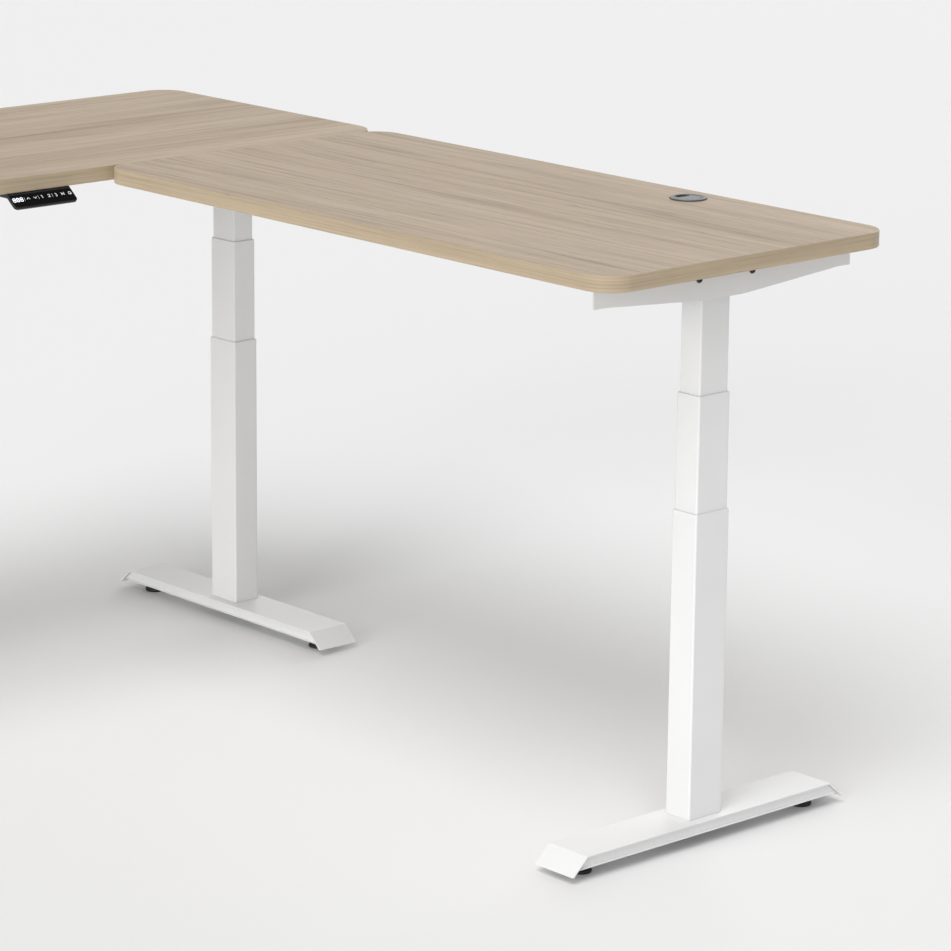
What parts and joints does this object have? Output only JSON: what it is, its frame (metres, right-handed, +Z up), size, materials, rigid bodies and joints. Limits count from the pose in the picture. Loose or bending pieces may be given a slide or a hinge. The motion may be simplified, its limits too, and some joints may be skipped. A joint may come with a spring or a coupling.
{
  "type": "height adjustable standing desk",
  "caption": "L-shaped electric sit-stand desk: two wood boards on three telescopic three-stage legs, with feet, drives, control box, push-button handset and cable grommet.",
  "frame": {"origin": "on the floor, under the centre of the desk's outline", "axes": "+Z up; +X to the seated user's right, along the main board; +Y away from the user, along the return. The user sits in the inner corner, facing +Y"},
  "size_m": [1.6, 1.8, 0.9355],
  "materials": {
    "oak_laminate": "matt greige oak laminate, grain along each board's length",
    "white_powder_coat": "satin white powder coat with a fine texture",
    "zinc_plated_steel": "zinc plated",
    "cast_aluminium": "as cast",
    "motor_black": "satin black",
    "black_plastic": "fine spark-eroded texture",
    "glide_black": "hard black plastic",
    "gloss_black": "high gloss",
    "display_window": "smoked window with white digits",
    "grey_plastic": "satin"
  },
  "bodies": {
    "base": {"end_leg_foot": "white_powder_coat", "end_leg_foot_plate": "zinc_plated_steel", "end_leg_outer_tube": "white_powder_coat", "end_leg_nut_post": "zinc_plated_steel", "corner_leg_foot": "white_powder_coat", "corner_leg_foot_plate": "zinc_plated_steel", "corner_leg_outer_tube": "white_powder_coat", "corner_leg_nut_post": "zinc_plated_steel", "left_leg_foot": "white_powder_coat", "left_leg_foot_plate": "zinc_plated_steel", "left_leg_outer_tube": "white_powder_coat", "left_leg_nut_post": "zinc_plated_steel"},
    "desktop": {"main_top": "oak_laminate", "return_top": "oak_laminate", "seam_plate_1": "zinc_plated_steel", "seam_plate_2": "zinc_plated_steel", "end_leg_side_bracket": "white_powder_coat", "corner_leg_side_bracket": "white_powder_coat", "left_leg_side_bracket": "white_powder_coat", "main_rail_front": "white_powder_coat", "main_rail_back": "white_powder_coat", "return_rail_inner": "white_powder_coat", "return_rail_outer": "white_powder_coat", "rail_joint_bracket": "white_powder_coat", "end_leg_gearbox": "cast_aluminium", "end_leg_motor": "motor_black", "end_leg_inner_tube": "white_powder_coat", "end_leg_upper_screw": "zinc_plated_steel", "corner_leg_gearbox": "cast_aluminium", "corner_leg_motor": "motor_black", "corner_leg_inner_tube": "white_powder_coat", "corner_leg_upper_screw": "zinc_plated_steel", "left_leg_gearbox": "cast_aluminium", "left_leg_motor": "motor_black", "left_leg_inner_tube": "white_powder_coat", "left_leg_upper_screw": "zinc_plated_steel", "control_box": "black_plastic", "handset_housing": "gloss_black", "handset_display": "display_window", "grommet_ring": "grey_plastic"},
    "end_leg_middle_stage": {"end_leg_middle_tube": "white_powder_coat", "end_leg_hollow_spindle": "zinc_plated_steel"},
    "corner_leg_middle_stage": {"corner_leg_middle_tube": "white_powder_coat", "corner_leg_hollow_spindle": "zinc_plated_steel"},
    "left_leg_middle_stage": {"left_leg_middle_tube": "white_powder_coat", "left_leg_hollow_spindle": "zinc_plated_steel"},
    "end_leg_glide_a": {"end_leg_glide_a": "glide_black"},
    "end_leg_glide_b": {"end_leg_glide_b": "glide_black"},
    "corner_leg_glide_a": {"corner_leg_glide_a": "glide_black"},
    "corner_leg_glide_b": {"corner_leg_glide_b": "glide_black"},
    "left_leg_glide_a": {"left_leg_glide_a": "glide_black"},
    "left_leg_glide_b": {"left_leg_glide_b": "glide_black"},
    "key_up": {"key_up": "gloss_black"},
    "key_down": {"key_down": "gloss_black"},
    "key_memory_1": {"key_memory_1": "gloss_black"},
    "key_memory_2": {"key_memory_2": "gloss_black"},
    "key_memory_3": {"key_memory_3": "gloss_black"},
    "key_memory_set": {"key_memory_set": "gloss_black"},
    "key_reminder": {"key_reminder": "gloss_black"},
    "grommet_cap": {"grommet_cap": "grey_plastic"}
  },
  "joints": [
    {"name": "desk_lift", "type": "slide", "parent": "base", "child": "desktop", "axis": [0, 0, 1], "range_m": [-0.28, 0.36]},
    {"name": "end_leg_middle_lift", "type": "slide", "parent": "base", "child": "end_leg_middle_stage", "axis": [0, 0, 1], "range_m": [-0.14, 0.18]},
    {"name": "corner_leg_middle_lift", "type": "slide", "parent": "base", "child": "corner_leg_middle_stage", "axis": [0, 0, 1], "range_m": [-0.14, 0.18]},
    {"name": "left_leg_middle_lift", "type": "slide", "parent": "base", "child": "left_leg_middle_stage", "axis": [0, 0, 1], "range_m": [-0.14, 0.18]},
    {"name": "end_leg_glide_a_level", "type": "slide", "parent": "base", "child": "end_leg_glide_a", "axis": [0, 0, -1], "range_m": [0, 0.01]},
    {"name": "end_leg_glide_b_level", "type": "slide", "parent": "base", "child": "end_leg_glide_b", "axis": [0, 0, -1], "range_m": [0, 0.01]},
    {"name": "corner_leg_glide_a_level", "type": "slide", "parent": "base", "child": "corner_leg_glide_a", "axis": [0, 0, -1], "range_m": [0, 0.01]},
    {"name": "corner_leg_glide_b_level", "type": "slide", "parent": "base", "child": "corner_leg_glide_b", "axis": [0, 0, -1], "range_m": [0, 0.01]},
    {"name": "left_leg_glide_a_level", "type": "slide", "parent": "base", "child": "left_leg_glide_a", "axis": [0, 0, -1], "range_m": [0, 0.01]},
    {"name": "left_leg_glide_b_level", "type": "slide", "parent": "base", "child": "left_leg_glide_b", "axis": [0, 0, -1], "range_m": [0, 0.01]},
    {"name": "key_up_press", "type": "slide", "parent": "desktop", "child": "key_up", "axis": [0, 0.6157, -0.788], "range_m": [0, 0.0006], "stiffness_N_per_m": 800, "springref_m": -0.0004},
    {"name": "key_down_press", "type": "slide", "parent": "desktop", "child": "key_down", "axis": [0, 0.6157, -0.788], "range_m": [0, 0.0006], "stiffness_N_per_m": 800, "springref_m": -0.0004},
    {"name": "key_memory_1_press", "type": "slide", "parent": "desktop", "child": "key_memory_1", "axis": [0, 0.6157, -0.788], "range_m": [0, 0.0006], "stiffness_N_per_m": 800, "springref_m": -0.0004},
    {"name": "key_memory_2_press", "type": "slide", "parent": "desktop", "child": "key_memory_2", "axis": [0, 0.6157, -0.788], "range_m": [0, 0.0006], "stiffness_N_per_m": 800, "springref_m": -0.0004},
    {"name": "key_memory_3_press", "type": "slide", "parent": "desktop", "child": "key_memory_3", "axis": [0, 0.6157, -0.788], "range_m": [0, 0.0006], "stiffness_N_per_m": 800, "springref_m": -0.0004},
    {"name": "key_memory_set_press", "type": "slide", "parent": "desktop", "child": "key_memory_set", "axis": [0, 0.6157, -0.788], "range_m": [0, 0.0006], "stiffness_N_per_m": 800, "springref_m": -0.0004},
    {"name": "key_reminder_press", "type": "slide", "parent": "desktop", "child": "key_reminder", "axis": [0, 0.6157, -0.788], "range_m": [0, 0.0006], "stiffness_N_per_m": 800, "springref_m": -0.0004},
    {"name": "grommet_cap_turn", "type": "hinge", "parent": "desktop", "child": "grommet_cap", "pos_m": [0.743, -0.516, 0.9355], "axis": [0, 0, 1], "continuous": true}
  ],
  "couplings": [
    {"joint": "end_leg_middle_lift", "follows": "desk_lift", "ratio": 0.5},
    {"joint": "corner_leg_middle_lift", "follows": "desk_lift", "ratio": 0.5},
    {"joint": "left_leg_middle_lift", "follows": "desk_lift", "ratio": 0.5}
  ]
}
